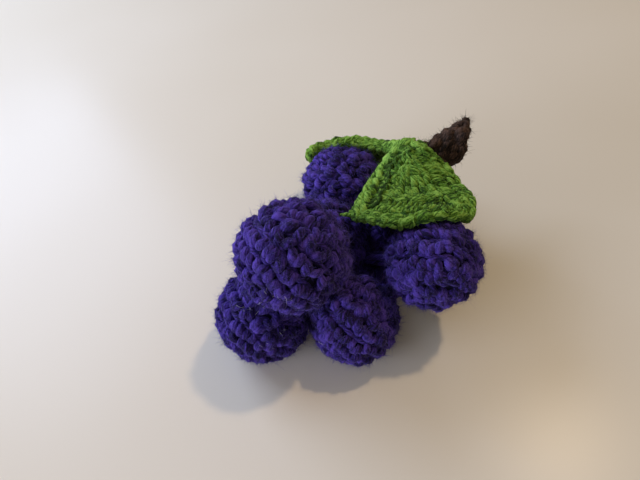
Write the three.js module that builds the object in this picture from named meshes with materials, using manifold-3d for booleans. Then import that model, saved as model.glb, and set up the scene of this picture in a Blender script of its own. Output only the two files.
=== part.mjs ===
// A crocheted bunch of grapes: stuffed balls of purple yarn sewn to each other, two green leaves and a brown stem.
// Millimetres, +Z up. It lies on its side, the tip of the bunch to the front left and the stem to the back right.
import * as THREE from "three";
import { ConvexHull } from "three/addons/math/ConvexHull.js";
import { mergeVertices } from "three/addons/utils/BufferGeometryUtils.js";
import Module from "manifold-3d";

const wasm = await Module();
wasm.setup();

const GAP = 0.3; // air between pieces that touch
const FABRIC = 3; // thickness of the crocheted wall
const STITCH_OUT = 0.8; // a stitch stands this far out of the mean surface
const STITCH_IN = 0.9; // the hole beside it goes this far in
const LEG = 0.26; // each leg of a V is this share of the stitch away from its middle
const SEWN_WITHIN = 3; // balls closer than this are sewn to each other
const SEAT = 0.8; // how much a ball sinks into its own flat spot
const RING_HOLE = 1.1; // radius of the hole in the middle of the starting ring
const YARN = 1.2; // radius of a strand of yarn
const YARN_HOLE = YARN + GAP;
const TIE_REACH = 8.5; // a sewing strand goes this far to each side of a seam
const BIG = 60; // side of a block that cuts a flat

// Stitches in each round of a ball, from the starting ring to the closed end.
const ROUNDS = [6, 12, 16, 16, 16, 16, 12, 6];

// Each ball: radius, centre, and the way its starting ring faces. A ball that rests has no height of its own.
const BALLS = {
  back: { radius: 17.4, at: [8.4, 52.8], ring: [-0.5, 0.75, 0.43] },
  top: { radius: 18.6, at: [-14.5, -9.5, 47.5], ring: [-0.8, -0.39, -0.46] },
  tip: { radius: 17.2, at: [-29.6, -11.3], ring: [-0.69, -0.35, -0.62] },
  front: { radius: 16.5, at: [3.9, -17], ring: [-0.73, -0.39, -0.59] },
  right: { radius: 16.3, at: [33.6, -9.8, 33.9], ring: [0.26, 0.83, 0.5] },
  centre: { radius: 18.8, at: [-4.2, 16.8], ring: [-0.08, 0.87, 0.47] },
  under_leaf: { radius: 18.8, at: [32.2, 24], ring: [0.9, 0.2, 0.35] },
};
for (const ball of Object.values(BALLS)) {
  const [x, y, z = ball.radius - SEAT] = ball.at;
  ball.centre = new THREE.Vector3(x, y, z);
}

const LEAF_HALF = 1.4; // half of a leaf's thickness
const LEAF_RELIEF = 0.35; // how far its stitches stand out of it and lie in
const LEAF_RIM = 0.7; // its edge is this share of its thickness
const LEAF_SEWN = 1.5; // its relief grows this fast from where it is sewn on
const LEAF_STEP = 0.02; // share of it over which its slope is taken
const DRAPE_PASSES = 4; // how often a point is moved out of each thing that the leaf lies on
const LEAF_COLUMNS = 20;
const LEAF_ROWS = 12;

// A leaf is a fan: three curves run from where it is sewn on to its far edge.
const FRONT_LEAF = {
  left: [[33.8, 46.5, 43], [29.5, 47.5, 37], [24.3, 46, 31.5], [18, 35.3, 33], [12, 24.5, 34], [7.8, 14.5, 36.5]],
  middle: [[36.3, 43.5, 46], [34.3, 36.5, 46.8], [31, 28, 43.5], [28.5, 19, 42], [27.5, 9.5, 45.5], [24.5, -6.5, 50.5]],
  right: [[39, 40.5, 46.8], [41.5, 33.5, 47.2], [47.5, 26.8, 44], [51.3, 17, 42.6], [51.5, 6, 45], [47.8, -2, 46]],
};
const BACK_LEAF = {
  left: [[34.5, 47, 39.5], [31, 54.5, 34.5], [26.5, 61, 31], [20, 66.5, 30], [11, 69, 29.5], [2, 68, 28.7], [-5, 58.5, 30]],
  middle: [[36, 49, 37], [34, 58, 28], [28.5, 66, 21], [18, 72.5, 17], [11.5, 73.5, 16], [4.8, 73, 15], [-4, 68.5, 18]],
  right: [[37.5, 51, 34], [35, 60, 22], [27, 68, 13], [16, 71, 8], [10.3, 70.5, 6], [6, 70.5, 6], [0, 70.3, 9]],
};
// The loose end of yarn at the tip of the front leaf.
const YARN_END = [new THREE.Vector3(9.5, 13.5, 37), new THREE.Vector3(4, 16, 37.5)];

// The stem: a short thick tube, its base on the ball under the leaf. Its open end is cut at a slant.
const STEM_FROM = new THREE.Vector3(37.5, 37.2, 37.2);
const STEM_TO = new THREE.Vector3(57, 40.7, 44.9);
const STEM_UP = new THREE.Vector3(-0.4, 0.7, 0.64); // the side whose end reaches furthest
const STEM_PROFILE = [5.6, 6.6, 6.9, 6.8, 6.8, 6.9, 7.1, 6.8]; // radius from the base to the open end
const STEM_FLATNESS = 0.9;
const STEM_SIDES = 16;
const STEM_RELIEF = 0.4;
const STEM_SLANT = 4.2;
const STEM_DISH = 1.5; // how far the middle of the end lies in
const STEM_KNOT = 2; // radius of the knot on the longest corner of the end

const solidOf = (geometry) => {
  const bare = geometry.clone();
  bare.deleteAttribute("normal");
  bare.deleteAttribute("uv");
  const merged = mergeVertices(bare, 1e-4);
  return new wasm.Manifold(
    new wasm.Mesh({
      numProp: 3,
      vertProperties: new Float32Array(merged.attributes.position.array),
      triVerts: new Uint32Array(merged.index.array),
    }),
  );
};

const geometryOf = (solid) => {
  const mesh = solid.getMesh();
  const geometry = new THREE.BufferGeometry();
  geometry.setAttribute("position", new THREE.BufferAttribute(mesh.vertProperties, 3));
  geometry.setIndex(new THREE.BufferAttribute(mesh.triVerts, 1));
  geometry.computeVertexNormals();
  return geometry;
};

// A geometry made along +Z, turned to point from one place to another and put between them.
const aimed = (geometry, from, to) => {
  const turn = new THREE.Quaternion().setFromUnitVectors(
    new THREE.Vector3(0, 0, 1),
    to.clone().sub(from).normalize(),
  );
  return geometry.applyQuaternion(turn).translate(...from.clone().lerp(to, 0.5).toArray());
};

const rod = (from, to, radius, sides = 6) =>
  solidOf(
    aimed(
      new THREE.CylinderGeometry(radius, radius, from.distanceTo(to), sides).rotateX(Math.PI / 2),
      from,
      to,
    ),
  );

// A block with one face through a point, filling the side that the normal points to.
const blockBeyond = (point, normal) =>
  solidOf(
    aimed(new THREE.BoxGeometry(BIG, BIG, BIG), point, point.clone().addScaledVector(normal, BIG)),
  );

// The knobbly skin of a ball: each stitch is a V, with a point out on each leg and a point in between the two.
function stitchedBall({ radius, centre, ring }) {
  const reach = new Map();
  const place = (polar, around, distance) =>
    reach.set(new THREE.Vector3().setFromSphericalCoords(1, polar, around), distance);
  ROUNDS.forEach((stitches, round) => {
    const polar = (Math.PI * (round + 0.5)) / ROUNDS.length;
    const between = (Math.PI * (round + 1)) / ROUNDS.length;
    const lean = (round % 2) / 2; // each round is half a stitch on from the last
    for (let stitch = 0; stitch < stitches; stitch++) {
      const around = (2 * Math.PI * (stitch + lean)) / stitches;
      for (const leg of [-LEG, LEG])
        place(polar, around + (2 * Math.PI * leg) / stitches, radius + STITCH_OUT);
      if (round < ROUNDS.length - 1) place(between, around, radius - STITCH_IN);
    }
  });
  place(0, 0, radius - STITCH_IN);
  place(Math.PI, 0, radius - STITCH_IN);
  const corners = [];
  for (const { edge } of new ConvexHull().setFromPoints([...reach.keys()]).faces)
    for (const { point } of [edge.head(), edge.next.head(), edge.prev.head()])
      corners.push(point.clone().multiplyScalar(reach.get(point)));
  const turn = new THREE.Quaternion().setFromUnitVectors(
    new THREE.Vector3(0, 1, 0),
    new THREE.Vector3(...ring).normalize(),
  );
  const skin = new THREE.BufferGeometry().setFromPoints(corners);
  return solidOf(skin.applyQuaternion(turn).translate(...centre.toArray()));
}

const roundBody = (radius, centre) =>
  solidOf(new THREE.IcosahedronGeometry(radius, 2).translate(...centre.toArray()));

// Where two balls press on each other: the two names, the seam's middle and the way from the first to the second.
function seamsOf(balls) {
  const names = Object.keys(balls);
  const seams = [];
  names.forEach((a, i) =>
    names.slice(i + 1).forEach((b) => {
      const one = balls[a];
      const two = balls[b];
      const apart = one.centre.distanceTo(two.centre);
      if (apart > one.radius + two.radius + SEWN_WITHIN) return;
      const share = (apart ** 2 + one.radius ** 2 - two.radius ** 2) / (2 * apart ** 2);
      const way = two.centre.clone().sub(one.centre).normalize();
      seams.push({ names: [a, b], middle: one.centre.clone().lerp(two.centre, share), way });
    }),
  );
  return seams;
}
const SEAMS = seamsOf(BALLS);

const TIES = SEAMS.map(({ names, middle, way }) => ({
  name: `tie_${names.join("_")}`,
  from: middle.clone().addScaledVector(way, -TIE_REACH),
  to: middle.clone().addScaledVector(way, TIE_REACH),
  holds: names,
}));

// Moves a point on a leaf's middle surface out of the balls and the stem that it lies on.
function draped(point) {
  const clear = STITCH_OUT + GAP + LEAF_HALF + LEAF_RELIEF;
  const stem = new THREE.Line3(STEM_FROM, STEM_TO);
  const pushOut = (from, reach) => {
    const away = point.clone().sub(from);
    if (away.length() < reach) point.copy(from).add(away.setLength(reach));
  };
  for (let pass = 0; pass < DRAPE_PASSES; pass++) {
    for (const { radius, centre } of Object.values(BALLS)) pushOut(centre, radius + clear);
    pushOut(stem.closestPointToPoint(point, true, new THREE.Vector3()), STEM_PROFILE[1] + clear);
  }
  return point;
}

function leafSolid({ left, middle, right }) {
  const curves = [left, middle, right].map(
    (line) => new THREE.CatmullRomCurve3(line.map((p) => new THREE.Vector3(...p))),
  );
  const surface = (across, along) => {
    const [a, b, c] = curves.map((curve) => curve.getPoint(along));
    return draped(
      a
        .multiplyScalar((1 - across) * (1 - 2 * across))
        .addScaledVector(b, 4 * across * (1 - across))
        .addScaledVector(c, across * (2 * across - 1)),
    );
  };
  const outward = (across, along) => {
    const u = Math.min(Math.max(across, LEAF_STEP), 1 - LEAF_STEP);
    const v = Math.min(Math.max(along, LEAF_STEP), 1 - LEAF_STEP);
    const wide = surface(u + LEAF_STEP, v).sub(surface(u - LEAF_STEP, v));
    const long = surface(u, v + LEAF_STEP).sub(surface(u, v - LEAF_STEP));
    return long.cross(wide).normalize();
  };
  const rowLength = LEAF_COLUMNS + 1;
  const sheetLength = rowLength * (LEAF_ROWS + 1);
  const sheet = (side) => {
    const points = [];
    for (let row = 0; row <= LEAF_ROWS; row++)
      for (let column = 0; column <= LEAF_COLUMNS; column++) {
        const across = column / LEAF_COLUMNS;
        const along = row / LEAF_ROWS;
        const rim = row === 0 || row === LEAF_ROWS || column === 0 || column === LEAF_COLUMNS;
        const depth = LEAF_RELIEF * Math.min(1, LEAF_SEWN * along);
        const stitch = (row + column) % 2 ? depth : -depth;
        const height = side * (rim ? LEAF_HALF * LEAF_RIM : LEAF_HALF + stitch);
        points.push(surface(across, along).addScaledVector(outward(across, along), height));
      }
    return points;
  };
  const points = [...sheet(1), ...sheet(-1)];
  const faces = [];
  const quad = (a, b, c, d) => faces.push(a, b, c, a, c, d);
  for (let row = 0; row < LEAF_ROWS; row++)
    for (let column = 0; column < LEAF_COLUMNS; column++) {
      const corner = row * rowLength + column;
      const four = [corner, corner + rowLength, corner + rowLength + 1, corner + 1];
      quad(...four);
      quad(...four.map((i) => i + sheetLength).reverse());
    }
  const edge = [];
  for (let column = 0; column < LEAF_COLUMNS; column++) edge.push(column);
  for (let row = 0; row < LEAF_ROWS; row++) edge.push(row * rowLength + LEAF_COLUMNS);
  for (let column = LEAF_COLUMNS; column > 0; column--) edge.push(LEAF_ROWS * rowLength + column);
  for (let row = LEAF_ROWS; row > 0; row--) edge.push(row * rowLength);
  edge.forEach((from, i) => {
    const to = edge[(i + 1) % edge.length];
    quad(from, to, to + sheetLength, from + sheetLength);
  });
  const geometry = new THREE.BufferGeometry().setFromPoints(points);
  geometry.setIndex(faces);
  return { solid: solidOf(geometry), surface };
}

function stemSolid() {
  const length = STEM_FROM.distanceTo(STEM_TO);
  const along = STEM_TO.clone().sub(STEM_FROM).normalize();
  const side = STEM_UP.clone().cross(along).normalize();
  const up = along.clone().cross(side);
  const at = (forward, sideways, upwards) =>
    STEM_FROM.clone()
      .addScaledVector(along, forward)
      .addScaledVector(side, sideways)
      .addScaledVector(up, upwards);
  const points = [];
  STEM_PROFILE.forEach((radius, ring) => {
    const share = ring / (STEM_PROFILE.length - 1);
    for (let corner = 0; corner < STEM_SIDES; corner++) {
      const around = (2 * Math.PI * corner) / STEM_SIDES;
      const reach = radius + ((ring + corner) % 2 ? STEM_RELIEF : -STEM_RELIEF);
      const forward = length * share + STEM_SLANT * share ** 2 * Math.sin(around);
      const sideways = reach * STEM_FLATNESS * Math.cos(around);
      points.push(at(forward, sideways, reach * Math.sin(around)));
    }
  });
  const base = points.push(STEM_FROM) - 1;
  const end = points.push(at(length - STEM_DISH, 0, 0)) - 1;
  const faces = [];
  const last = (STEM_PROFILE.length - 1) * STEM_SIDES;
  for (let corner = 0; corner < STEM_SIDES; corner++) {
    const next = (corner + 1) % STEM_SIDES;
    for (let low = 0; low < last; low += STEM_SIDES) {
      const high = low + STEM_SIDES;
      faces.push(low + corner, low + next, high + next, low + corner, high + next, high + corner);
    }
    faces.push(base, next, corner, end, last + corner, last + next);
  }
  const tube = new THREE.BufferGeometry().setFromPoints(points);
  tube.setIndex(faces);
  const knot = at(length + STEM_SLANT, 0, STEM_PROFILE.at(-1) - STEM_KNOT / 2);
  return solidOf(tube).add(
    solidOf(new THREE.IcosahedronGeometry(STEM_KNOT, 1).translate(...knot.toArray())),
  );
}

function cover(name) {
  const ball = BALLS[name];
  let solid = stitchedBall(ball).subtract(roundBody(ball.radius - FABRIC, ball.centre));
  const outward = new THREE.Vector3(...ball.ring).normalize();
  const beyond = ball.centre.clone().addScaledVector(outward, ball.radius + FABRIC);
  solid = solid.subtract(rod(ball.centre, beyond, RING_HOLE, 8));
  for (const { names, middle, way } of SEAMS) {
    if (!names.includes(name)) continue;
    const out = names[0] === name ? way : way.clone().negate();
    solid = solid.subtract(blockBeyond(middle.clone().addScaledVector(out, -GAP / 2), out));
  }
  const down = new THREE.Vector3(0, 0, -1);
  solid = solid.subtract(blockBeyond(new THREE.Vector3(ball.centre.x, ball.centre.y, 0), down));
  return pierced(solid, name);
}

// A solid with the holes that the sewing strands through it need.
const pierced = (solid, name) =>
  ALL_TIES.filter((tie) => tie.holds.includes(name)).reduce((rest, { from, to }) => {
    const way = to.clone().sub(from).normalize();
    const start = from.clone().addScaledVector(way, -GAP);
    return rest.subtract(rod(start, to.clone().addScaledVector(way, GAP), YARN_HOLE));
  }, solid);

const fill = (name) =>
  pierced(roundBody(BALLS[name].radius - FABRIC - GAP, BALLS[name].centre), name);

const LEAVES = { front_leaf: leafSolid(FRONT_LEAF), back_leaf: leafSolid(BACK_LEAF) };

// A strand from inside a ball into the middle of a leaf's thickness.
function leafTie(leaf, ball, across, along) {
  const { surface } = LEAVES[leaf];
  const at = surface(across, along);
  const way = at.clone().sub(BALLS[ball].centre).normalize();
  return {
    name: `tie_${leaf}`,
    from: at.clone().addScaledVector(way, -TIE_REACH),
    to: at,
    holds: [leaf, ball],
  };
}

const stemWay = STEM_TO.clone().sub(STEM_FROM).normalize();
const ALL_TIES = [
  ...TIES,
  leafTie("front_leaf", "under_leaf", 0.5, 0.4),
  leafTie("back_leaf", "back", 0.35, 0.6),
  {
    name: "tie_stem",
    from: STEM_FROM.clone().addScaledVector(stemWay, -TIE_REACH),
    to: STEM_FROM.clone().addScaledVector(stemWay, TIE_REACH),
    holds: ["stem", "under_leaf"],
  },
];

const finish = (colour) =>
  new THREE.MeshStandardMaterial({ color: colour, roughness: 0.95, metalness: 0 });
const purpleYarn = finish(0x3a2a86);
const greenYarn = finish(0x5c9a34);
const brownYarn = finish(0x3d2c26);
const stuffing = finish(0xf1efe9);

const bunch = new THREE.Group();
bunch.name = "crocheted_bunch_of_grapes";
const put = (name, solid, material) => {
  const mesh = new THREE.Mesh(geometryOf(solid), material);
  mesh.name = name;
  bunch.add(mesh);
};

for (const name of Object.keys(BALLS)) {
  put(`cover_${name}`, cover(name), purpleYarn);
  put(`fill_${name}`, fill(name), stuffing);
}
const yarnEnd = rod(...YARN_END, YARN);
const underLeaf = BALLS.under_leaf;
put("front_leaf", pierced(LEAVES.front_leaf.solid.add(yarnEnd), "front_leaf"), greenYarn);
put("back_leaf", pierced(LEAVES.back_leaf.solid, "back_leaf"), greenYarn);
put(
  "stem",
  pierced(
    stemSolid().subtract(roundBody(underLeaf.radius + STITCH_OUT + 2 * GAP, underLeaf.centre)),
    "stem",
  ),
  brownYarn,
);
const tieColours = { tie_front_leaf: greenYarn, tie_back_leaf: greenYarn, tie_stem: brownYarn };
for (const { name, from, to } of ALL_TIES)
  put(name, rod(from, to, YARN), tieColours[name] ?? purpleYarn);

// The frame's origin is under the middle of the whole bunch, on the surface that it lies on.
const size = new THREE.Box3().setFromObject(bunch);
const middle = size.getCenter(new THREE.Vector3());
bunch.position.set(-middle.x, -middle.y, 0);

export default bunch;
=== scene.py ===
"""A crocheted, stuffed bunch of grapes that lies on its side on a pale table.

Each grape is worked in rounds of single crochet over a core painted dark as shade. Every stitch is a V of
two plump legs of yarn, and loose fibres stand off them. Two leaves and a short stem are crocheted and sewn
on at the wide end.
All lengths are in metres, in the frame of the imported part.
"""

import logging
import math
import random
from bisect import bisect_left
from collections.abc import Iterator, Sequence
from dataclasses import dataclass, field, replace
from enum import Enum
from itertools import accumulate, pairwise

import bmesh
import bpy
from mathutils import Matrix, Vector, noise
from mathutils.kdtree import KDTree


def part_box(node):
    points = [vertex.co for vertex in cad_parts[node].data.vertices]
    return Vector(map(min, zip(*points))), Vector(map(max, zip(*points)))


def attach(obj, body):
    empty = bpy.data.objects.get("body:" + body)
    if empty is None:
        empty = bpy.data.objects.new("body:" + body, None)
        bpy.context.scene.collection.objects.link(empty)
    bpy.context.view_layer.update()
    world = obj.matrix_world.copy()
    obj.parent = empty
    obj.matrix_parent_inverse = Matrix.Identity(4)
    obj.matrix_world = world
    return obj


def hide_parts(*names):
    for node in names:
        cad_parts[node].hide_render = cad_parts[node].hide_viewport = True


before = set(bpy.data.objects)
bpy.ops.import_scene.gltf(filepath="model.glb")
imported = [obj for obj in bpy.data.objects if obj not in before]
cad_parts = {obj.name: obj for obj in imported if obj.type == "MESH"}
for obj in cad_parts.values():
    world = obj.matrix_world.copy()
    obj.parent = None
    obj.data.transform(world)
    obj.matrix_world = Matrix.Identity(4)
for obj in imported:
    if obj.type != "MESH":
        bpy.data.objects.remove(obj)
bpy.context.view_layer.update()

Tree = bpy.types.NodeTree
Socket = bpy.types.NodeSocket
Point = tuple[float, float, float]
Track = list[tuple[float, float]]

LOG = logging.getLogger("bunch")
MM = 0.001
UV_NAME = "yarn"
SHADE = "shade"

# Stitches in each round of a grape, from the starting ring to the closed end.
ROUNDS = (6, 12, 18, 18, 18, 18, 18, 18, 12, 6)
# Middle of the grape at the right, in millimetres on the table. It ties the table to the part's frame.
RIGHT_GRAPE = (33.6, -9.8, 33.9)


def table_mm(x: float, y: float, z: float) -> Vector:
    """Turn a place measured in millimetres on the table into the part's frame.

    Args:
        x: Millimetres to the right.
        y: Millimetres away from the camera.
        z: Millimetres above the table.

    Returns:
        The same place in metres, in the part's frame.
    """
    return Vector((x, y, z)) * MM + TABLE_TO_PART


def layout_shift() -> Vector:
    """Find how far the part's frame lies from the table's, from the stuffing of the grape at the right.

    Returns:
        The shift to add to a place on the table, in metres.
    """
    low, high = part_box("fill_right")
    return (low + high) / 2 - Vector(RIGHT_GRAPE) * MM


TABLE_TO_PART = layout_shift()


def linear(colour: str) -> tuple[float, float, float, float]:
    """Turn an sRGB hex colour into linear RGBA.

    Args:
        colour: Six hex digits after a hash sign.

    Returns:
        Linear red, green, blue and an alpha of 1.
    """
    values = [int(colour[i : i + 2], 16) / 255 for i in (1, 3, 5)]
    red, green, blue = [v / 12.92 if v <= 0.04045 else ((v + 0.055) / 1.055) ** 2.4 for v in values]
    return (red, green, blue, 1.0)


def path_length(points: Sequence[Vector]) -> float:
    """Give the length of a way through some points."""
    return sum((b - a).length for a, b in pairwise(points))


def add_node(tree: Tree, kind: str, settings: dict, links: dict) -> bpy.types.Node:
    """Add a shader node with its settings and its inputs.

    Args:
        tree: The material's node tree.
        kind: The node's type name.
        settings: Properties to set on the node.
        links: Input name or number, to a value or to the output socket that feeds it.

    Returns:
        The new node.
    """
    node = tree.nodes.new(kind)
    for name, value in settings.items():
        setattr(node, name, value)
    for name, value in links.items():
        if isinstance(value, Socket):
            tree.links.new(value, node.inputs[name])
        else:
            node.inputs[name].default_value = value
    return node


def add_math(tree: Tree, operation: str, *values: Socket | float) -> Socket:
    """Add a math node.

    Args:
        tree: The material's node tree.
        operation: What it does.
        values: Its inputs, in order.

    Returns:
        Its output.
    """
    return add_node(tree, "ShaderNodeMath", {"operation": operation}, dict(enumerate(values))).outputs[0]


def add_noise(tree: Tree, where: Socket, scale: float, detail: float, roughness: float = 0.5) -> Socket:
    """Add a noise pattern.

    Args:
        tree: The material's node tree.
        where: The place that it is read at.
        scale: Steps of the pattern to a unit.
        detail: How many finer patterns it holds.
        roughness: How strong those are.

    Returns:
        Its output.
    """
    inputs = {"Vector": where, "Scale": scale, "Detail": detail, "Roughness": roughness}
    return add_node(tree, "ShaderNodeTexNoise", {}, inputs).outputs[0]


def ramp(tree: Tree, factor: Socket, stops: dict[float, str]) -> Socket:
    """Add a colour ramp between sRGB hex colours.

    Args:
        tree: The material's node tree.
        factor: The value that runs along the ramp.
        stops: Place on the ramp, to the colour there.

    Returns:
        The ramp's colour output.
    """
    node = add_node(tree, "ShaderNodeValToRGB", {}, {"Fac": factor})
    elements = node.color_ramp.elements
    while len(elements) < len(stops):
        elements.new(0.5)
    for element, (place, colour) in zip(elements, sorted(stops.items()), strict=True):
        element.position = place
        element.color = linear(colour)
    return node.outputs["Color"]


def new_material(name: str) -> tuple[bpy.types.Material, Tree, Socket]:
    """Start a material.

    Args:
        name: Its name.

    Returns:
        The material, its node tree and the socket that gives the place on the object.
    """
    made = bpy.data.materials.new(name)
    made.use_nodes = True
    made.node_tree.nodes.clear()
    here = add_node(made.node_tree, "ShaderNodeTexCoord", {}, {})
    return made, made.node_tree, here.outputs["Object"]


def add_surface(tree: Tree, settings: dict) -> None:
    """Close a material with its surface.

    Args:
        tree: The material's node tree.
        settings: The shader's inputs.
    """
    shader = add_node(tree, "ShaderNodeBsdfPrincipled", {}, settings)
    add_node(tree, "ShaderNodeOutputMaterial", {}, {"Surface": shader.outputs[0]})


@dataclass(frozen=True)
class Yarn:
    """Brushed yarn: matt, with fibres that turn round the strand and a bloom of loose ends.

    Attributes:
        name: The material's name.
        slot: The material slot of the record that it stands for. It is not used.
        dark: Colour down between the fibres, painted there as painted shade.
        body: Colour of the strand.
        light: Colour of the fibres on its crown, painted there as a painted highlight.
        bloom: Colour of the loose ends where they catch the light.
        sheen: How strongly the bloom shows.
    """

    name: str
    slot: str
    dark: str
    body: str
    light: str
    bloom: str
    sheen: float

    # Fibres to a turn round the strand and to its length, on a grape about 0.8 mm wide and 2 mm long.
    # They hold finer ones, and are coarser than real so that they show in the render.
    FIBRES = (12.0, 2.4, 0.0)
    # Sets the fibres of one strand apart from the next one's.
    STRAND_STEP = 41.0
    # Patches about 6 mm wide, where the dye took a little more or less, and matted fibre ends 0.6 mm apart.
    PATCHES_PER_METRE = 160.0
    MATTED_PER_METRE = 1600.0
    # How strongly each changes the tone, and what keeps it near the yarn's own colour.
    PATCH_TONE = (0.35, -0.16)
    MATTED_TONE = (0.36, -0.18)
    STRAND_TONE = (0.16, -0.08)

    def material(self) -> bpy.types.Material:
        """Build the yarn's material, with its fibres, its matted ends and its uneven dye.

        Returns:
            The finished material.
        """
        made, tree, here = new_material(self.name)
        # The map runs once round the strand and once along it, already sheared by the yarn's twist.
        uv = add_node(tree, "ShaderNodeUVMap", {"uv_map": UV_NAME}, {}).outputs["UV"]
        shade = add_node(tree, "ShaderNodeAttribute", {"attribute_name": SHADE}, {}).outputs["Fac"]
        stretched = add_node(tree, "ShaderNodeVectorMath", {"operation": "MULTIPLY"}, {0: uv, 1: self.FIBRES})
        apart = add_math(tree, "MULTIPLY", shade, self.STRAND_STEP)
        step = add_node(tree, "ShaderNodeCombineXYZ", {}, {"Z": apart})
        parts = {0: stretched.outputs[0], 1: step.outputs[0]}
        where = add_node(tree, "ShaderNodeVectorMath", {"operation": "ADD"}, parts)
        fibres = add_noise(tree, where.outputs[0], 1.0, 3.0, 0.6)
        patches = add_noise(tree, here, self.PATCHES_PER_METRE, 2.0)
        matted = add_noise(tree, here, self.MATTED_PER_METRE, 3.0)
        # Partly painted light: the fibre and matted patterns set both the tone and the bump's height, so the
        # lows between fibres are painted darker as painted shade and the crowns lighter as a painted
        # highlight. The patches are the yarn's uneven dye.
        fibre_shade_and_dye = add_math(tree, "ADD", fibres, add_math(tree, "MULTIPLY_ADD", patches, *self.PATCH_TONE))
        matted_fleck_and_shade = add_math(tree, "MULTIPLY_ADD", matted, *self.MATTED_TONE)
        strand = add_math(tree, "MULTIPLY_ADD", shade, *self.STRAND_TONE)
        tone = add_math(tree, "ADD", fibre_shade_and_dye, add_math(tree, "ADD", matted_fleck_and_shade, strand))
        relief = add_math(tree, "ADD", fibres, matted)
        bump = add_node(tree, "ShaderNodeBump", {}, {"Strength": 0.8, "Distance": 0.5 * MM, "Height": relief})
        settings = {
            "Base Color": ramp(tree, tone, {0.37: self.dark, 0.5: self.body, 0.65: self.light}),
            "Roughness": 0.92,
            "IOR": 1.46,
            "Specular IOR Level": 0.25,
            "Sheen Weight": self.sheen,
            "Sheen Roughness": 0.45,
            "Sheen Tint": linear(self.bloom),
            "Normal": bump.outputs[0],
        }
        add_surface(tree, settings)
        return made


@dataclass(frozen=True)
class Fibrefill:
    """Polyester fibrefill: loose white fibre, soft and matt."""

    name: str = "polyester_fibrefill"
    colour: str = "#efece4"

    def material(self) -> bpy.types.Material:
        """Build the stuffing's material. Tufts about 4 mm wide give the eye its looseness.

        Returns:
            The finished material.
        """
        made, tree, here = new_material(self.name)
        tufts = add_noise(tree, here, 250.0, 5.0)
        colour = ramp(tree, tufts, {0.3: "#d9d5cb", 0.7: self.colour})
        bump = add_node(tree, "ShaderNodeBump", {}, {"Strength": 0.8, "Distance": 1.0 * MM, "Height": tufts})
        settings = {"Base Color": colour, "Roughness": 0.95, "Sheen Weight": 0.4, "Normal": bump.outputs[0]}
        add_surface(tree, settings)
        return made


@dataclass(frozen=True)
class Lacquer:
    """Satin lacquer on a white table top: pale, with soft, blurred reflections."""

    name: str = "white_satin_lacquer"
    colour: str = "#e6dfd2"

    def material(self) -> bpy.types.Material:
        """Build the table top's material, its tone cloudy over about 0.2 m.

        Returns:
            The finished material.
        """
        made, tree, here = new_material(self.name)
        colour = ramp(tree, add_noise(tree, here, 5.0, 2.0), {0.3: "#e1d9ca", 0.7: self.colour})
        settings = {"Base Color": colour, "Roughness": 0.3, "IOR": 1.45, "Specular IOR Level": 0.3}
        add_surface(tree, settings)
        return made


class Finish(Enum):
    """The finishes of the bunch and what it lies on."""

    PURPLE = Yarn("purple_acrylic_yarn", "purple_yarn", "#10082f", "#2f1f6e", "#533da2", "#8577cc", 0.4)
    GREEN = Yarn("green_acrylic_yarn", "green_yarn", "#213a0b", "#538023", "#8fb94e", "#b9d684", 0.2)
    BROWN = Yarn("brown_wool_yarn", "brown_yarn", "#150e0b", "#392a23", "#584338", "#8d7768", 0.3)
    # A lighter copy of the purple yarn for its loose fibres: a painted highlight, where they catch the light.
    PAINTED_LIGHTER_HAZE = Yarn("purple_yarn_loose_fibres_painted_lighter", "purple_yarn", "#33277a", "#5646a8", "#8274cc", "#aaa2e2", 0.4)
    # A darker copy of the purple yarn for the grapes' cores: painted shade between the stitches.
    DARK = Yarn("purple_yarn_inside_painted_shade", "purple_yarn", "#0a0620", "#150e3a", "#221a52", "#3a3270", 0.1)
    # A darker copy of the green yarn for the leaf's ground: painted shade between the stitches.
    PAINTED_SHADE_GREEN = Yarn("green_yarn_inside_painted_shade", "green_yarn", "#182f0b", "#2f5519", "#477528", "#6c9a40", 0.1)
    LINT = Yarn("white_lint", "stuffing", "#cfcbd8", "#e6e3ec", "#ffffff", "#ffffff", 0.3)
    STUFFING = Fibrefill()
    TABLE = Lacquer()

    def dress(self, piece: bpy.types.Object) -> None:
        """Put this finish on a piece, built once and shared.

        Args:
            piece: The object to dress.
        """
        material = bpy.data.materials.get(self.value.name) or self.value.material()
        if piece.data.materials:
            for slot in range(len(piece.data.materials)):
                piece.data.materials[slot] = material
        else:
            piece.data.materials.append(material)


@dataclass
class Crochet:
    """A piece in the making: its mesh, with the yarn's map and shade, and the source of its unevenness.

    Attributes:
        seed: Start of its random draws.
    """

    seed: int = 0

    def __post_init__(self) -> None:
        """Start the mesh and the draws."""
        self.draw = random.Random(self.seed)
        self.bm = bmesh.new()
        self.bm.loops.layers.uv.new(UV_NAME)
        self.bm.verts.layers.float.new(SHADE)

    def scattered(self, spread: float) -> Vector:
        """Draw a vector whose three parts are spread about zero."""
        return Vector([self.draw.gauss(0, spread) for _ in range(3)])

    def keep_above(self, lowest: float = 0.0) -> None:
        """Bring every point that is nearer to the table than this, or under it, back up."""
        for vertex in self.bm.verts:
            vertex.co.z = max(vertex.co.z, lowest)

    def finished(self, name: str, finish: Finish) -> bpy.types.Object:
        """Turn the mesh into a dressed piece of the bunch that rides on its body.

        Args:
            name: The piece's name.
            finish: Its finish.

        Returns:
            The new piece.
        """
        for face in self.bm.faces:
            face.smooth = True
        mesh = bpy.data.meshes.new(name)
        self.bm.to_mesh(mesh)
        self.bm.free()
        piece = bpy.data.objects.new(name, mesh)
        bpy.context.scene.collection.objects.link(piece)
        finish.dress(piece)
        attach(piece, "root")
        LOG.info("%s: %d faces", name, len(mesh.polygons))
        return piece


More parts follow.
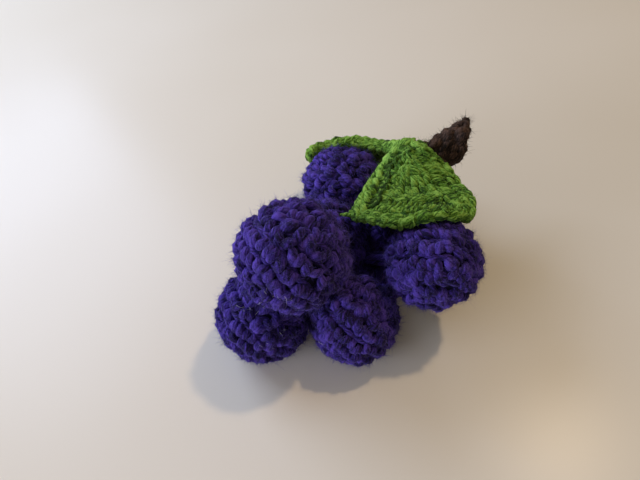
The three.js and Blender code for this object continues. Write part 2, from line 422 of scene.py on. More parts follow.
def add_tube(bm: bmesh.types.BMesh, sides: int, spans: int, depth: float, fan: bool) -> None:
    """Add a closed tube of radius 1 along Z, cut into rings.

    Args:
        bm: The mesh.
        sides: Points in each ring.
        spans: Spans between its rings, at least 2.
        depth: Its length.
        fan: Whether its ends have a point in the middle.
    """
    bmesh.ops.create_cone(bm, cap_ends=True, cap_tris=fan, segments=sides, radius1=1, radius2=1, depth=depth)
    long_edges = [edge for edge in bm.edges if abs(edge.verts[0].co.z - edge.verts[1].co.z) > 0.5]
    bmesh.ops.subdivide_edges(bm, edges=long_edges, cuts=spans - 1)


@dataclass
class Strand:
    """A straight strand of yarn, made once with its map and then bent into every place that it fills.

    Attributes:
        rings: Rings of points along it.
        sides: Points in each ring.
        turns: How often the plies turn along it.
        plies: Plies that show as ridges, or 0 for a plain round strand.
        ridge: How far a ply stands out, as a share of the radius.
        rough: How lumpy the strand is, as a share of the radius.
    """

    rings: int = 6
    sides: int = 8
    turns: float = 0.7
    plies: int = 2
    ridge: float = 0.07
    rough: float = 0.22
    mesh: bpy.types.Mesh = field(init=False)

    # Lumps along a metre of the way, and how fast they change from ring to ring and round the strand.
    LUMPS_PER_METRE = 700.0
    RING_STEP = 1.7
    ROUND_STEP = 1.6
    # How far the middle of a tip stands out, as a share of the radius there.
    TIP = 0.45
    # A point nearer to the axis than this is the middle of a tip.
    ON_AXIS = 0.1

    def __post_init__(self) -> None:
        """Build the straight strand along X, one unit between rings."""
        bm = bmesh.new()
        spans = self.rings - 1
        add_tube(bm, self.sides, spans, spans, self.plies > 0)
        bmesh.ops.translate(bm, verts=bm.verts, vec=(0, 0, spans / 2))
        bmesh.ops.rotate(bm, verts=bm.verts, matrix=Matrix.Rotation(math.pi / 2, 3, "Y"))
        bmesh.ops.recalc_face_normals(bm, faces=bm.faces)
        layer = bm.loops.layers.uv.new(UV_NAME)
        bm.verts.layers.float.new(SHADE)
        for face in bm.faces:
            facing = self.around(face.calc_center_median())
            for loop in face.loops:
                co = loop.vert.co
                angle = self.around(co) if co.yz.length > self.ON_AXIS else facing
                angle = facing + math.remainder(angle - facing, 1.0)
                along = co.x / spans
                loop[layer].uv = (angle + self.turns * along, along)
        self.mesh = bpy.data.meshes.new("straight_strand")
        bm.to_mesh(self.mesh)
        bm.free()

    @staticmethod
    def around(co: Vector) -> float:
        """Give the share of a turn round the strand, 0 on the underside, where the map's seam lies."""
        return (math.atan2(co.y, -co.z) / math.tau) % 1.0

    def bend(
        self, work: Crochet, line: list[Vector], up: Vector, radius: list[float], flat: float, shade: float
    ) -> None:
        """Lay one more strand into a piece, bent along a line.

        Args:
            work: The piece that gets the strand.
            line: The middle of each ring.
            up: The way that the crown of the strand faces.
            radius: The strand's radius at each ring.
            flat: Its height as a share of its width.
            shade: A number about 0 to 1 that sets its tone.
        """
        bm = work.bm
        first = len(bm.verts)
        bm.from_mesh(self.mesh)
        bm.verts.ensure_lookup_table()
        layer = bm.verts.layers.float[SHADE]
        last = self.rings - 1
        frames = []
        for i, middle in enumerate(line):
            along = (line[min(i + 1, last)] - line[max(i - 1, 0)]).normalized()
            side = up.cross(along).normalized()
            frames.append((middle, along, side, along.cross(side)))
        for vertex in bm.verts[first:]:
            ring = round(vertex.co.x)
            middle, along, side, out = frames[ring]
            y, z = vertex.co.y, vertex.co.z
            vertex[layer] = shade
            if math.hypot(y, z) < self.ON_AXIS:
                tip = self.TIP if ring else -self.TIP
                vertex.co = middle + along * (tip * radius[ring])
                continue
            reach = radius[ring]
            if self.plies:
                turn = math.atan2(y, -z) + math.tau * self.turns * ring / last
                grain = Vector((ring * self.RING_STEP, y * self.ROUND_STEP, z * self.ROUND_STEP))
                lump = noise.noise(grain + middle * self.LUMPS_PER_METRE)
                reach *= 1 + self.ridge * math.cos(self.plies * turn) + self.rough * lump
            vertex.co = middle + side * (y * reach) + out * (z * reach * flat)


@dataclass
class Place:
    """A stitch's place on a crocheted surface.

    Attributes:
        middle: Where the stitch lies.
        across: The way along its row, or across its chain.
        onward: The way that the work goes on from it.
        out: The way out of the fabric.
        width: Width of the stitch.
        height: Distance to the next one.
    """

    middle: Vector
    across: Vector
    onward: Vector
    out: Vector
    width: float
    height: float


@dataclass
class Stitch:
    """A single crochet stitch: a V of two plump legs, with a bar of yarn lying low beyond them.

    Attributes:
        yarn: Radius of a leg at its crown.
        loose: How unevenly it is worked, from 0 for a machine to about 2 for a rough hand.
        sunk: How far the middle of a leg lies below the mean surface.
        flat: Height of a leg as a share of its width.
        reach: Half the length of a leg as a share of the distance to the next row.
        bar: Whether the bar between this row and the next shows.
        strand: The strand that is bent into it.
        tone: Added to the shade of every leg, below 0 for a darker stitch.
        spread: 1 where the two legs open to a V, 0 where they lie side by side.
    """

    yarn: float
    loose: float
    sunk: float
    flat: float = 0.9
    reach: float = 0.38
    bar: bool = True
    strand: Strand = field(default_factory=Strand)
    tone: float = 0.0
    spread: float = 1.0

    # A leg, ring by ring: how far aside as a share of the width, onward as a share of the reach,
    # and out and how thick as shares of the yarn's radius.
    ACROSS = (0.09, 0.14, 0.2, 0.24, 0.26, 0.23)
    ONWARD = (-1.2, -0.82, -0.3, 0.22, 0.68, 0.95)
    OUT = (-1.5, -0.45, 0.08, 0.14, -0.25, -1.35)
    SWELL = (0.55, 0.88, 1.04, 1.08, 0.94, 0.55)
    # Where two legs side by side lie, as a share of the width.
    BESIDE = 0.25
    # The most that a leg's radius takes of the width, and how its thickness varies.
    CROWDED = 0.33
    THICKNESS = (0.82, 1.12)
    # How far a leg strays at a looseness of 1: turned, and across, onward and out.
    TURN = math.radians(15)
    STRAY_ACROSS = 0.04
    STRAY_ONWARD = 0.06
    STRAY_OUT = 0.16 * MM
    # The bar: its radius as a share of a leg's, its length as a share of the width, how far it strays onward,
    # how deep its middle lies, how it curves down to its ends, and how much deeper it may lie.
    BAR_YARN = 0.68
    BAR_LENGTH = 1.1
    BAR_STRAY = 0.05
    BAR_DEPTH = 0.6
    BAR_BOW = 3.0
    BAR_DEEPER = 0.3

    def work(self, work: Crochet, place: Place) -> None:
        """Work one stitch into a piece.

        Args:
            work: The piece.
            place: Where the stitch goes.
        """
        draw = work.draw
        widest = min(self.yarn, self.CROWDED * place.width)
        for side in (-1, 1):
            yarn = widest * draw.uniform(*self.THICKNESS)
            turn = Matrix.Rotation(self.TURN * self.loose * draw.gauss(0, 1), 3, place.out)
            shift = (
                place.across * (place.width * self.STRAY_ACROSS * self.loose * draw.gauss(0, 1))
                + place.onward * (place.height * self.STRAY_ONWARD * self.loose * draw.gauss(0, 1))
                + place.out * (self.STRAY_OUT * self.loose * draw.gauss(0, 1) - self.sunk)
            )
            line = []
            for across, onward, out in zip(self.ACROSS, self.ONWARD, self.OUT, strict=True):
                beside = self.BESIDE + (across - self.BESIDE) * self.spread
                way = place.across * (side * beside * place.width)
                way += place.onward * (onward * self.reach * place.height)
                line.append(place.middle + shift + turn @ way + place.out * (out * yarn))
            radius = [yarn * swell for swell in self.SWELL]
            self.strand.bend(work, line, place.out, radius, self.flat, self.tone + draw.random())
        if self.bar:
            self.lay_bar(work, place, widest * self.BAR_YARN)

    def lay_bar(self, work: Crochet, place: Place, yarn: float) -> None:
        """Lay the low bar between this row and the next.

        Args:
            work: The piece.
            place: Where the stitch goes.
            yarn: The bar's radius.
        """
        draw = work.draw
        rings = self.strand.rings
        line = []
        for i in range(rings):
            share = i / (rings - 1) - 0.5
            way = place.across * (share * self.BAR_LENGTH * place.width)
            way += place.onward * (place.height * (0.5 + self.BAR_STRAY * draw.gauss(0, 1)))
            depth = self.BAR_DEPTH + self.BAR_BOW * share * share + draw.uniform(0, self.BAR_DEEPER)
            line.append(place.middle + way - place.out * (self.sunk + yarn * depth))
        # The bar's shade is drawn from the lower half of the legs' range, so the low bar is painted a little
        # darker: painted shade.
        self.strand.bend(work, line, place.out, [yarn] * rings, self.flat, draw.random() * 0.5)


@dataclass
class Fuzz:
    """Loose fibre ends that stand off the yarn.

    Attributes:
        length: Shortest and longest fibre.
        thickness: About the radius of a fibre near its root, more than the real 0.01 mm so that it shows.
        strand: The strand that is bent into each fibre.
    """

    length: tuple[float, float] = (0.9 * MM, 2.4 * MM)
    thickness: float = 0.022 * MM
    strand: Strand = field(default_factory=lambda: Strand(rings=3, sides=3, turns=0, plies=0))

    # The least that a fibre rises, how far it leans aside, and how it curls towards its end.
    RISE = 0.12
    LEAN = 0.65
    CURL = 0.9
    BOW = 0.6
    # The shortest share of its length that is left, and how the low fibres are stouter than the high ones.
    LEAST = 0.6
    STOUT = 1.7
    TAPER = (1, 0.85, 0.35)

    def grow(self, work: Crochet, root: Vector, out: Vector) -> None:
        """Let one fibre grow out of the yarn in a soft curve.

        Args:
            work: The piece that gets it.
            root: Where it leaves the yarn.
            out: The way out of the yarn.
        """
        draw = work.draw
        wander = work.scattered(1)
        wander -= out * wander.dot(out)
        lift = draw.random() ** 2
        way = (out * (self.RISE + lift) + wander * self.LEAN).normalized()
        curl = work.scattered(1) * self.CURL
        length = draw.uniform(*self.length) * draw.uniform(self.LEAST, 1)
        line = [root + (way * t + curl * t * t * self.BOW) * length for t in (0, 0.5, 1)]
        radius = [self.thickness * (self.STOUT - lift) * share for share in self.TAPER]
        self.strand.bend(work, line, out.orthogonal(), radius, 1, draw.random())

    def cover(self, vertices: Sequence[bpy.types.MeshVertex], count: int, seed: int) -> Crochet:
        """Let fibres grow at points of some stitches, drawn at random.

        Args:
            vertices: The points that they can grow at.
            count: How many fibres grow.
            seed: Start of the random draws.

        Returns:
            The piece that they make, unfinished.
        """
        work = Crochet(seed)
        for _ in range(count):
            vertex = vertices[work.draw.randrange(len(vertices))]
            self.grow(work, vertex.co.copy(), vertex.normal.copy())
        return work


@dataclass
class Seam:
    """The flat where something presses on a grape: a point on it and the way out of the grape."""

    point: Vector
    out: Vector

    def flatten(self, co: Vector, clear: float) -> Vector:
        """Bring a point that reaches over the flat back onto it.

        Args:
            co: The point.
            clear: Distance to keep from the flat.

        Returns:
            The point, moved if it had to be.
        """
        over = (co - self.point).dot(self.out) + clear
        return co - self.out * over if over > 0 else co


@dataclass
class Grape:
    """One stuffed ball, crocheted in the round.

    Attributes:
        name: The name that its solids carry.
        radius: Radius of the mean surface.
        centre: Its middle.
        ring: The way that its starting ring faces.
        seed: Start of its random draws.
        fuzz: How many loose fibres stand on it.
        seams: The flats where other grapes press on it.
    """

    name: str
    radius: float
    centre: Vector
    ring: Vector
    seed: int
    fuzz: int = 4200
    seams: list[Seam] = field(default_factory=list)

    # Two grapes with no more than this between them press on each other.
    TOUCHING = 1.6 * MM
    # How deep the core lies, and what it and the stitches keep clear of the flats.
    CORE_BELOW = 1.7 * MM
    CORE_CLEAR = 1.0 * MM
    SKIN_CLEAR = 0.08 * MM
    # How far the ball strays from round, and how closely its lumps lie.
    LUMP = 0.8 * MM
    LUMPS = 2.3
    # How far above the mean surface, above the table and from a leaf's middle surface fibres grow.
    # The last is the least height of any point of them above the table.
    FUZZ_ABOVE = 0.2 * MM
    FUZZ_OFF_TABLE = 0.5 * MM
    FUZZ_OFF_LEAF = 4.5 * MM
    FUZZ_LOWEST = 0.05 * MM

    def meets(self, other: "Grape") -> tuple[Vector, Vector]:
        """Find the flat that this grape shares with another.

        Args:
            other: The other grape.

        Returns:
            The middle of the flat and the way to the other grape.
        """
        apart = other.centre - self.centre
        share = (apart.length_squared + self.radius**2 - other.radius**2) / (2 * apart.length_squared)
        return self.centre + apart * share, apart.normalized()

    def press(self, other: "Grape") -> None:
        """Give this grape and another that it touches the flat that they share.

        Args:
            other: The grape that may touch this one.
        """
        if (other.centre - self.centre).length > self.radius + other.radius + self.TOUCHING:
            return
        middle, way = self.meets(other)
        self.seams.append(Seam(middle, way))
        other.seams.append(Seam(middle, -way))

    def places(self) -> Iterator[Place]:
        """Give the place of every stitch, round by round.

        Yields:
            The stitches' places on the mean surface.
        """
        turn = self.ring.to_track_quat("Z", "Y").to_matrix()
        rounds = len(ROUNDS)
        height = math.pi * self.radius / rounds
        for number, stitches in enumerate(ROUNDS):
            for stitch in range(stitches):
                around = math.tau * (stitch + 0.5 * number) / stitches
                drift = noise.noise(Vector((stitch * 0.7, number * 0.9, self.seed * 3.1)))
                polar = math.pi * (number + 0.5 + 0.5 * drift) / rounds
                ring = Vector((math.cos(around), math.sin(around), 0))
                out = turn @ (ring * math.sin(polar) + Vector((0, 0, math.cos(polar))))
                onward = turn @ (ring * math.cos(polar) - Vector((0, 0, math.sin(polar))))
                width = math.tau * self.radius * math.sin(polar) / stitches
                lump = noise.noise(out * self.LUMPS + Vector((0, 0, self.seed * 5.7)))
                middle = self.centre + out * (self.radius + self.LUMP * lump)
                yield Place(middle, onward.cross(out), onward, out, width, height)

    def keep(self, work: Crochet, clear: float) -> None:
        """Keep a piece on this grape's side of its flats and above the table.

        Args:
            work: The piece.
            clear: Distance to keep from the flats.
        """
        for vertex in work.bm.verts:
            for seam in self.seams:
                vertex.co = seam.flatten(vertex.co, clear)
        work.keep_above()

    def core(self) -> None:
        """Build the inside of the fabric that shows between the stitches, in painted shade."""
        work = Crochet()
        bmesh.ops.create_icosphere(work.bm, subdivisions=4, radius=self.radius - self.CORE_BELOW)
        bmesh.ops.translate(work.bm, verts=work.bm.verts, vec=self.centre)
        self.keep(work, self.CORE_CLEAR)
        work.finished(f"inside_{self.name}", Finish.DARK)

    def skin(self) -> bpy.types.Object:
        """Work the rounds of stitches over the core.

        Returns:
            The stitched skin.
        """
        work = Crochet(self.seed)
        stitch = Stitch(yarn=1.55 * MM, loose=1.4, sunk=0.85 * MM)
        for place in self.places():
            stitch.work(work, place)
        self.keep(work, self.SKIN_CLEAR)
        piece = work.finished(f"grape_{self.name}", Finish.PURPLE)
        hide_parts(f"cover_{self.name}")
        return piece

    def halo(self, skin: bpy.types.Object, leaves: KDTree) -> None:
        """Let loose fibres grow all over the skin, but not into a leaf.

        Args:
            skin: The stitched skin that they grow on.
            leaves: Points all over the leaves.
        """
        open_air = [
            vertex
            for vertex in skin.data.vertices
            if (vertex.co - self.centre).length > self.radius + self.FUZZ_ABOVE
            and vertex.co.z > self.FUZZ_OFF_TABLE
            and leaves.find(vertex.co)[2] > self.FUZZ_OFF_LEAF
        ]
        work = Fuzz().cover(open_air, self.fuzz, self.seed + 100)
        work.keep_above(self.FUZZ_LOWEST)
        # The fibres wear the lighter purple, a painted highlight.
        work.finished(f"fuzz_{self.name}", Finish.PAINTED_LIGHTER_HAZE)


@dataclass
class Curve:
    """A smooth line through its points, with the points spaced by the root of their distances."""

    points: list[Vector]

    def at(self, share: float) -> Vector:
        """Give the point at a share of the line.

        Args:
            share: From 0 at the first point to 1 at the last.

        Returns:
            The point.
        """
        pts = self.points
        spans = len(pts) - 1
        where = min(max(share, 0.0), 1.0) * spans
        i = min(int(where), spans - 1)
        t = where - i
        before = pts[i - 1] if i > 0 else pts[0] * 2 - pts[1]
        after = pts[i + 2] if i + 2 <= spans else pts[-1] * 2 - pts[-2]
        a, b = pts[i], pts[i + 1]
        d0, d1, d2 = (math.sqrt(max((q - p).length, 1e-9)) for p, q in ((before, a), (a, b), (b, after)))
        start = ((a - before) / d0 - (b - before) / (d0 + d1) + (b - a) / d1) * d1
        end = ((b - a) / d1 - (after - a) / (d1 + d2) + (after - b) / d2) * d1
        c2 = (b - a) * 3 - start * 2 - end
        c3 = (a - b) * 2 + start + end
        return a + start * t + c2 * (t * t) + c3 * (t * t * t)


@dataclass
class Row:
    """A row of one kind of stitch on a leaf.

    Attributes:
        stitch: The stitch.
        link: Length of a stitch along the row.
        lean: How far its posts lean, in degrees, or None for a chain whose stitches follow the row.
    """

    stitch: Stitch
    link: float
    lean: float | None = None


@dataclass
class Leaf:
    """A crocheted leaf, draped over the grapes: rows of stitches on both faces of a ground in painted shade.

    A hem runs round the rim, a raised plait down the left side and a valley beside it. The plait is painted
    lighter as a painted highlight and the valley darker as painted shade. Rows of leaning posts and of
    hem fill what is left, each further in than the last.

    Attributes:
        name: The name that its solid carries.
        left: One side, from where it is sewn on to its far edge, in millimetres on the table.
        middle: Its middle.
        right: Its other side.
        flat: Width and length of the leaf before it was draped. It is not used.
        grapes: What it lies on.
        stem: The stem that it clears.
        seed: Start of its random draws.
    """

    name: str
    left: list[Point]
    middle: list[Point]
    right: list[Point]
    flat: tuple[float, float]
    grapes: list[Grape]
    stem: "Stem"
    seed: int

    # Distance that the leaf's middle surface keeps from the grapes and the stem.
    CLEAR = 2.85 * MM
    # The ground: its thickness, how far it stays inside the rim, and its unevenness.
    GROUND = 1.1 * MM
    GROUND_INSET = 0.9 * MM
    LUMPS_PER_METRE = 420.0
    LUMP = 0.9 * MM
    # A leaf this wide has room for all rows. On a narrower one those on the left move closer to the rim.
    WIDE = 44 * MM
    EDGE_INSET = 2.5 * MM
    PLAIT_INSET = 5.4 * MM
    VALLEY_INSET = 10.6 * MM
    BAND_INSET = 14.2 * MM
    FIRST_BAND = 7.0 * MM
    ROW_PITCH = 5.6 * MM
    # Points of the hem's way that are left out at each end, where the leaf is sewn on.
    SEWN_POINTS = 2
    # Rows start at this share of the length, have room on this share of the width, and need so many points.
    ROW_START = 0.03
    ROOM = 0.93
    FEWEST = 4
    # Steps along the leaf and across it.
    LONG_STEPS = 28
    WIDE_STEPS = 24
    # Share of its length where its width is taken, and step that its slope is taken over.
    WIDE_AT = 0.8
    STEP = 0.02
    # Share of its width times its length that the leaf's outline fills.
    FILLED = 0.72
    FUZZ = 2200

    def __post_init__(self) -> None:
        """Lay out the leaf's three guiding lines."""
        self.lines = [Curve([table_mm(*p) for p in side]) for side in (self.left, self.middle, self.right)]

    def surface(self, across: float, along: float) -> Vector:
        """Give a point on the leaf's middle surface, clear of what it lies on.

        Args:
            across: From 0 at the left side to 1 at the right.
            along: From 0 where it is sewn on to 1 at the far edge.

        Returns:
            The point.
        """
        a, b, c = (line.at(along) for line in self.lines)
        back = 1 - across
        point = a * (back * (1 - 2 * across)) + b * (4 * across * back) + c * (across * (2 * across - 1))
        for _ in range(4):
            for grape in self.grapes:
                away = point - grape.centre
                if away.length < grape.radius + self.CLEAR:
                    point = grape.centre + away.normalized() * (grape.radius + self.CLEAR)
            point = self.stem.cleared(point, self.CLEAR)
        return point

    def out(self, across: float, along: float) -> Vector:
        """Give the way out of the leaf's upper face.

        Args:
            across: From 0 at the left side to 1 at the right.
            along: From 0 where it is sewn on to 1 at the far edge.

        Returns:
            The way, one unit long.
        """
        step = self.STEP
        u, v = (min(max(share, step), 1 - step) for share in (across, along))
        wide = self.surface(u + step, v) - self.surface(u - step, v)
        long = self.surface(u, v + step) - self.surface(u, v - step)
        return long.cross(wide).normalized()

    def width(self, along: float) -> float:
        """Give the leaf's width at a share of its length."""
        return path_length([self.surface(i / 8, along) for i in range(9)])

    def length(self) -> float:
        """Give the leaf's length along its middle."""
        return path_length([self.surface(0.5, i / 12) for i in range(13)])

    def points(self) -> Iterator[Vector]:
        """Give points all over the leaf, about 2 mm apart."""
        for i in range(self.WIDE_STEPS + 1):
            for j in range(self.LONG_STEPS + 1):
                yield self.surface(i / self.WIDE_STEPS, j / self.LONG_STEPS)

    def sides(self, left: float, edge: float) -> list[Point]:
        """Find where a row that keeps its distance from the rim has room.

        Args:
            left: Its distance from the left side.
            edge: Its distance from the far edge and the right side.

        Returns:
            Shares across at its left and at its right, with the share along, from where it is sewn on.
        """
        far = 1 - edge / self.length()
        found = []
        for i in range(self.LONG_STEPS + 1):
            along = self.ROW_START + (far - self.ROW_START) * i / self.LONG_STEPS
            width = self.width(along)
            if left + edge < self.ROOM * width:
                found.append((left / width, 1 - edge / width, along))
        return found

    def down_left(self, left: float, edge: float) -> Track:
        """Give the way of a row down the left side, at its distances from that side and the others."""
        return [(start, along) for start, _, along in self.sides(left, edge)]

    def ring(self, left: float, edge: float) -> Track:
        """Give the way of a row that runs down the left side, along the far edge and up the right side.

        Args:
            left: Its distance from the left side.
            edge: Its distance from the far edge and the right side.

        Returns:
            Points as shares across and along, or none where the row has no room.
        """
        sides = self.sides(left, edge)
        if len(sides) < self.FEWEST:
            return []
        start, end, far = sides[-1]
        steps = self.WIDE_STEPS
        bottom = [(start + (end - start) * i / steps, far) for i in range(1, steps)]
        return self.down_left(left, edge) + bottom + [(b, along) for _, b, along in reversed(sides)]

    def chain(self, work: Crochet, track: Track, face: int, row: Row) -> None:
        """Work one row of stitches on one face of the leaf.

        Args:
            work: The piece.
            track: Its way, as shares across and along.
            face: 1 for the upper face or -1 for the lower one.
            row: The row's stitch, its length and its lean.
        """
        points = [self.surface(*p) for p in track]
        travelled = list(accumulate(((b - a).length for a, b in pairwise(points)), initial=0.0))
        links = max(1, round(travelled[-1] / row.link))
        pitch = travelled[-1] / links
        for link in range(links):
            goal = (link + 0.5) * pitch
            i = min(bisect_left(travelled, goal, 1), len(travelled) - 1)
            share = (goal - travelled[i - 1]) / max(travelled[i] - travelled[i - 1], 1e-9)
            middle = points[i - 1].lerp(points[i], share)
            onward = (points[i] - points[i - 1]).normalized()
            out = self.out(*Vector(track[i - 1]).lerp(Vector(track[i]), share)) * face
            across = onward.cross(out).normalized()
            if row.lean is None:
                row.stitch.work(work, Place(middle, across, onward, out, 4 * row.stitch.yarn, pitch))
                continue
            post = Matrix.Rotation(math.radians(row.lean) * face, 3, out) @ across * face
            row.stitch.work(work, Place(middle, onward, post, out, pitch, self.ROW_PITCH))

    def cloth(self) -> bpy.types.Object:
        """Build the leaf's ground, the inner side of its stitches in painted shade, as one draped sheet.

        Returns:
            The sheet.
        """
        work = Crochet()
        bmesh.ops.create_grid(work.bm, x_segments=40, y_segments=40, size=0.5)
        length = self.length()
        far = 1 - self.GROUND_INSET / length
        for vertex in work.bm.verts:
            along = far * (vertex.co.y + 0.5)
            width = self.width(along)
            trim = self.GROUND_INSET / width
            across = trim + (1 - 2 * trim) * (vertex.co.x + 0.5)
            lump = noise.noise(Vector((across * width, along * length, 0)) * self.LUMPS_PER_METRE)
            vertex.co = self.surface(across, along) + self.out(across, along) * (self.LUMP * lump)
        bmesh.ops.recalc_face_normals(work.bm, faces=work.bm.faces)
        area = sum(face.calc_area() for face in work.bm.faces)
        piece = work.finished(f"{self.name}_ground", Finish.PAINTED_SHADE_GREEN)
        wall = piece.modifiers.new("wall", "SOLIDIFY")
        wall.thickness = self.GROUND
        wall.offset = 0
        wide = self.width(self.WIDE_AT)
        LOG.info("%s: %.1f cm2, %.1f by %.1f mm", self.name, area * 1e4, wide / MM, length / MM)
        return piece

    def stitches(self) -> bpy.types.Object:
        """Work the rows of stitches on both faces.

        Returns:
            The stitches.
        """
        work = Crochet(self.seed)
        strand = Strand(turns=0.9, ridge=0.12, rough=0.12)
        plain = Stitch(1.4 * MM, loose=0.4, sunk=-0.5 * MM, reach=0.66, bar=False, strand=strand)
        # The plait's stitches are painted lighter, a painted highlight on the ridge, and the valley's darker,
        # painted shade in the dip.
        raised = replace(plain, yarn=1.6 * MM, loose=0.35, sunk=-1.5 * MM, reach=0.72, tone=0.3)
        deep = replace(plain, yarn=1.3 * MM, loose=1.3, sunk=0.6 * MM, flat=0.85, reach=0.6, tone=-0.9)
        upright = replace(plain, yarn=1.2 * MM, loose=0.3, sunk=-0.3 * MM, spread=0.0)
        hem = Row(plain, 5.0 * MM)
        plait = Row(raised, 4.6 * MM)
        valley = Row(deep, 4.0 * MM, 30)
        post = Row(upright, 4.5 * MM, -42)
        room = min(1.0, self.width(self.WIDE_AT) / self.WIDE)
        for face in (1, -1):
            rim = self.ring(self.EDGE_INSET, self.EDGE_INSET)
            self.chain(work, rim[self.SEWN_POINTS : -self.SEWN_POINTS], face, hem)
            self.chain(work, self.down_left(self.PLAIT_INSET * room, self.EDGE_INSET), face, plait)
            middle = self.down_left(self.VALLEY_INSET * room, self.FIRST_BAND)
            self.chain(work, middle, face, valley)
            edge_inset = self.FIRST_BAND
            left_inset = self.BAND_INSET * room
            posts = True
            while track := self.ring(left_inset, edge_inset):
                self.chain(work, track, face, post if posts else hem)
                middle = [((a + b) / 2, along) for a, b, along in self.sides(left_inset, edge_inset)]
                posts = not posts
                edge_inset += self.ROW_PITCH
                left_inset += self.ROW_PITCH
            self.chain(work, middle, face, hem)
        self.trim(work)
        work.keep_above()
        piece = work.finished(f"{self.name}_stitches", Finish.GREEN)
        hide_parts(self.name)
        return piece

    def trim(self, work: Crochet) -> None:
        """Add what only one leaf has. A plain leaf has nothing."""

    def build(self) -> None:
        ground = self.cloth()
        stitches = self.stitches()
        fuzz = Fuzz(length=(0.7 * MM, 2.2 * MM), thickness=0.045 * MM)
        fibres = fuzz.cover(stitches.data.vertices, self.FUZZ, self.seed + 7)
        [f"grape_{grape.name}" for grape in self.grapes]
        fibres.finished(f"fuzz_{self.name}", Finish.GREEN)


@dataclass
class FrontLeaf(Leaf):
    """The leaf over the front of the bunch, with the loose end of its yarn at the tip.

    Attributes:
        tail: Where the loose end starts and ends, in millimetres on the table.
        wave: How far it bends up and down.
        yarn: Its radius.
    """

    tail: tuple[Point, Point] = ((9.5, 13.5, 37.0), (4.0, 16.0, 37.5))
    wave: float = 0.5 * MM
    yarn: float = 1.1 * MM

    TAPER = (1, 1, 0.95, 0.85, 0.65, 0.35)

    def trim(self, work: Crochet) -> None:
        """Add the loose end of yarn.

        Args:
            work: The leaf's stitches.
        """
        start, end = (table_mm(*p) for p in self.tail)
        line = [start.lerp(end, i / 5) + Vector((0, 0, self.wave * math.sin(i))) for i in range(6)]
        radius = [self.yarn * share for share in self.TAPER]
        Strand(turns=1.5).bend(work, line, Vector((0, 0, 1)), radius, 0.8, 0.4)


